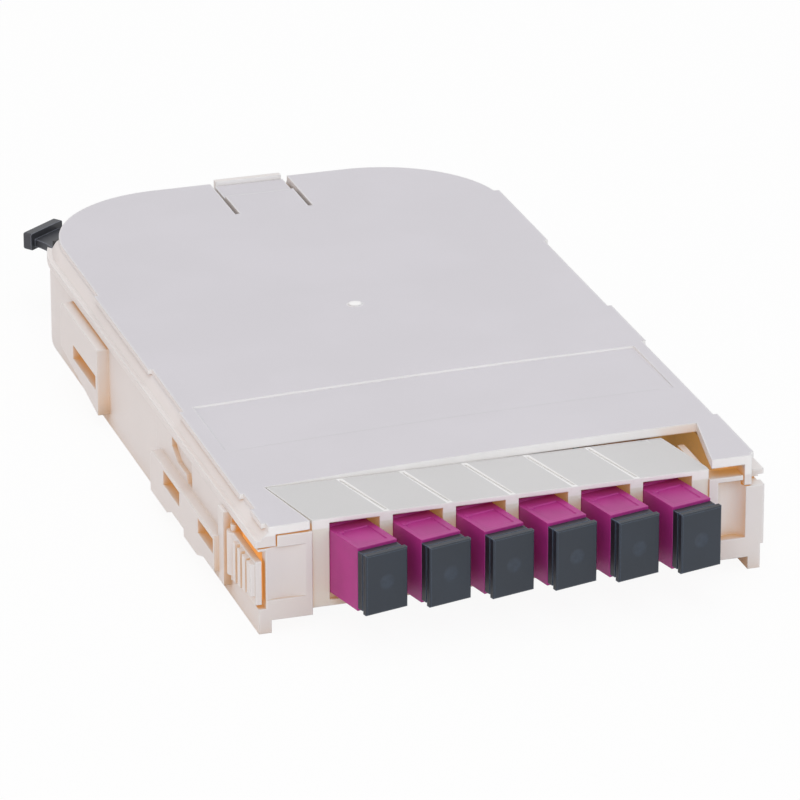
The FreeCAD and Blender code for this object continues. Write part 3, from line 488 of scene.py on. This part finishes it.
# ---------------------------------------------------------------- operators
class CASSETTE_OT_stage(bpy.types.Operator):
    """Floor, soft lamps, surround and camera"""
    bl_idname = "cassette.stage"
    bl_label = "Stage"

    def execute(self, context):
        shape = context.scene.cassette_shape
        self.camera(context, shape)
        self.floor(context, shape)
        self.surround(context, shape)
        for name, (place, size, watts, tint) in LAMPS.items():
            lamp = bpy.data.lights.new(name, "AREA")
            lamp.energy = watts * shape.lamp
            lamp.shape = "SQUARE"
            lamp.size = size
            lamp.color = tint
            body = bpy.data.objects.new(name, lamp)
            body.location = place
            aim = Vector(AIM) - Vector(place)
            body.rotation_euler = aim.to_track_quat("-Z", "Y").to_euler()
            context.scene.collection.objects.link(body)
        context.scene.view_settings.view_transform = "Standard"
        return {"FINISHED"}

    def camera(self, context, shape):
        lens = bpy.data.cameras.new("camera")
        lens.lens = shape.lens
        lens.sensor_width = 36.0
        lens.clip_end = 100.0
        body = bpy.data.objects.new("camera", lens)
        across, up = Vector(CAMERA_ACROSS), Vector(CAMERA_UP)
        turn = Matrix((across, up, across.cross(up))).transposed().to_4x4()
        body.matrix_world = Matrix.Translation(CAMERA_PLACE) @ turn
        context.scene.collection.objects.link(body)
        context.scene.camera = body

    def floor(self, context, shape):
        half = shape.floor_size / 2
        mesh = bpy.data.meshes.new("floor")
        corners = [(-half, -half, 0), (half, -half, 0), (half, half, 0), (-half, half, 0)]
        mesh.from_pydata(corners, [], [(0, 1, 2, 3)])
        body = bpy.data.objects.new("floor", mesh)
        make = finish_graph("floor")
        matt = make.node("ShaderNodeBsdfDiffuse", {}, {"Color": FLOOR_GREY})
        light = make.node("ShaderNodeEmission", {}, {"Color": (1, 1, 1), "Strength": 1.0})
        mixed = make.node("ShaderNodeMixShader", {}, {
            0: make.seen() * FLOOR_WHITE, 1: matt.outputs[0], 2: light.outputs[0]})
        make.node("ShaderNodeOutputMaterial", {}, {"Surface": mixed.outputs[0]})
        mesh.materials.append(make.owner)
        context.scene.collection.objects.link(body)

    def surround(self, context, shape):
        make = Graph(bpy.data.worlds.new("surround"))
        soft = make.node("ShaderNodeBackground", {}, {"Color": (1, 1, 1), "Strength": shape.sky})
        plain = make.node("ShaderNodeBackground", {}, {"Color": (1, 1, 1), "Strength": 1.0})
        mixed = make.node("ShaderNodeMixShader", {}, {
            0: make.seen(), 1: soft.outputs[0], 2: plain.outputs[0]})
        make.node("ShaderNodeOutputWorld", {}, {"Surface": mixed.outputs[0]})
        context.scene.world = make.owner


class CASSETTE_OT_housing(bpy.types.Operator):
    """Warm white finish of the tray and the release levers"""
    bl_idname = "cassette.housing"
    bl_label = "Tray and levers"

    def execute(self, context):
        colours = context.scene.cassette_colours
        finish = shell_finish("housing_shell", colours, colours.shell, colours.shell, slots=True)
        assign(finish, "tray", "release_lever_left", "release_lever_right")
        return {"FINISHED"}


class CASSETTE_OT_cover(bpy.types.Operator):
    """Snap cover, bowed up a little at its front right"""
    bl_idname = "cassette.cover"
    bl_label = "Cover"

    def execute(self, context):
        colours = context.scene.cassette_colours
        finish = shell_finish("cover_shell", colours, colours.cover, colours.shell, marked=True)
        shape = context.scene.cassette_shape
        mesh = cover_mesh(shape.bow, shape.rise)
        mesh.materials.clear()
        mesh.materials.append(finish)
        body = bpy.data.objects.new("cover_shell", mesh)
        context.scene.collection.objects.link(body)
        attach(body, "lid")
        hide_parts("cover")
        return {"FINISHED"}


class CASSETTE_OT_bays(bpy.types.Operator):
    """Frame with the six turned bays"""
    bl_idname = "cassette.bays"
    bl_label = "Coupler frame"

    def execute(self, context):
        colours = context.scene.cassette_colours
        finish = shell_finish("frame_shell", colours, colours.bays, colours.mouths, ridge_highlights=True)
        assign(finish, "coupler_frame")
        return {"FINISHED"}


class CASSETTE_OT_couplers(bpy.types.Operator):
    """Pink duplex couplers and their sleeves"""
    bl_idname = "cassette.couplers"
    bl_label = "Couplers"

    def execute(self, context):
        finish = coupler_finish(list(context.scene.cassette_colours.coupler))
        sleeve = inner_finish("sleeve_ceramic", *CERAMIC)
        for number in COUPLERS:
            assign(finish, "coupler_%d" % number)
            assign(sleeve, "sleeves_%d" % number)
        return {"FINISHED"}


class CASSETTE_OT_caps(bpy.types.Operator):
    """Slate pull-off caps at the front and in the rear corner"""
    bl_idname = "cassette.caps"
    bl_label = "Pull-off caps"

    def execute(self, context):
        colours = context.scene.cassette_colours
        assign(cap_finish("cap_body", list(colours.cap), True),
               *["dust_cap_%d" % number for number in COUPLERS])
        assign(cap_finish("grip_body", list(colours.grip), False), "multi_cap")
        return {"FINISHED"}


class CASSETTE_OT_inside(bpy.types.Operator):
    """Plugs, fibres, fan-out block and the corner coupler"""
    bl_idname = "cassette.inside"
    bl_label = "Inner pieces"

    def execute(self, context):
        fibre = list(context.scene.cassette_colours.fibre)
        jacket = inner_finish("fibre_jacket", fibre, JACKET_ROUGH)
        bundle = inner_finish("bundle_jacket", fibre, BUNDLE_ROUGH)
        plug = inner_finish("plug_body", *PLUG)
        black = inner_finish("multi_body", *CORNER_COUPLER)
        block = inner_finish("fan_out_body", *FAN_OUT)
        for number in COUPLERS:
            for letter in "ab":
                assign(jacket, "fibre_%d%s" % (number, letter))
                assign(plug, "plug_%d%s" % (number, letter))
        assign(bundle, "fibre_bundle")
        assign(plug, "multi_plug")
        assign(black, "multi_coupler")
        assign(block, "fan_out_block")
        return {"FINISHED"}


class CASSETTE_PT_panel(bpy.types.Panel):
    """Lists the pieces of the cassette"""
    bl_idname = "CASSETTE_PT_panel"
    bl_label = "Fibre cassette"
    bl_space_type = "VIEW_3D"
    bl_region_type = "UI"
    bl_category = "Cassette"

    def draw(self, context):
        column = self.layout.column()
        for step in STEPS:
            column.operator(step.bl_idname)
        for group in (context.scene.cassette_shape, context.scene.cassette_colours):
            for key in group.__annotations__:
                column.prop(group, key)


STEPS = (CASSETTE_OT_stage, CASSETTE_OT_housing, CASSETTE_OT_cover, CASSETTE_OT_bays,
         CASSETTE_OT_couplers, CASSETTE_OT_caps, CASSETTE_OT_inside)
CLASSES = (CassetteColours, CassetteShape) + STEPS + (CASSETTE_PT_panel,)


def register():
    for kind in CLASSES:
        bpy.utils.register_class(kind)
    bpy.types.Scene.cassette_colours = bpy.props.PointerProperty(type=CassetteColours)
    bpy.types.Scene.cassette_shape = bpy.props.PointerProperty(type=CassetteShape)


def unregister():
    del bpy.types.Scene.cassette_shape
    del bpy.types.Scene.cassette_colours
    for kind in reversed(CLASSES):
        bpy.utils.unregister_class(kind)


def main():
    register()
    bpy.ops.cassette.stage()
    bpy.ops.cassette.housing()
    bpy.ops.cassette.cover()
    bpy.ops.cassette.bays()
    bpy.ops.cassette.couplers()
    bpy.ops.cassette.caps()
    bpy.ops.cassette.inside()


if __name__ == "__main__":
    main()
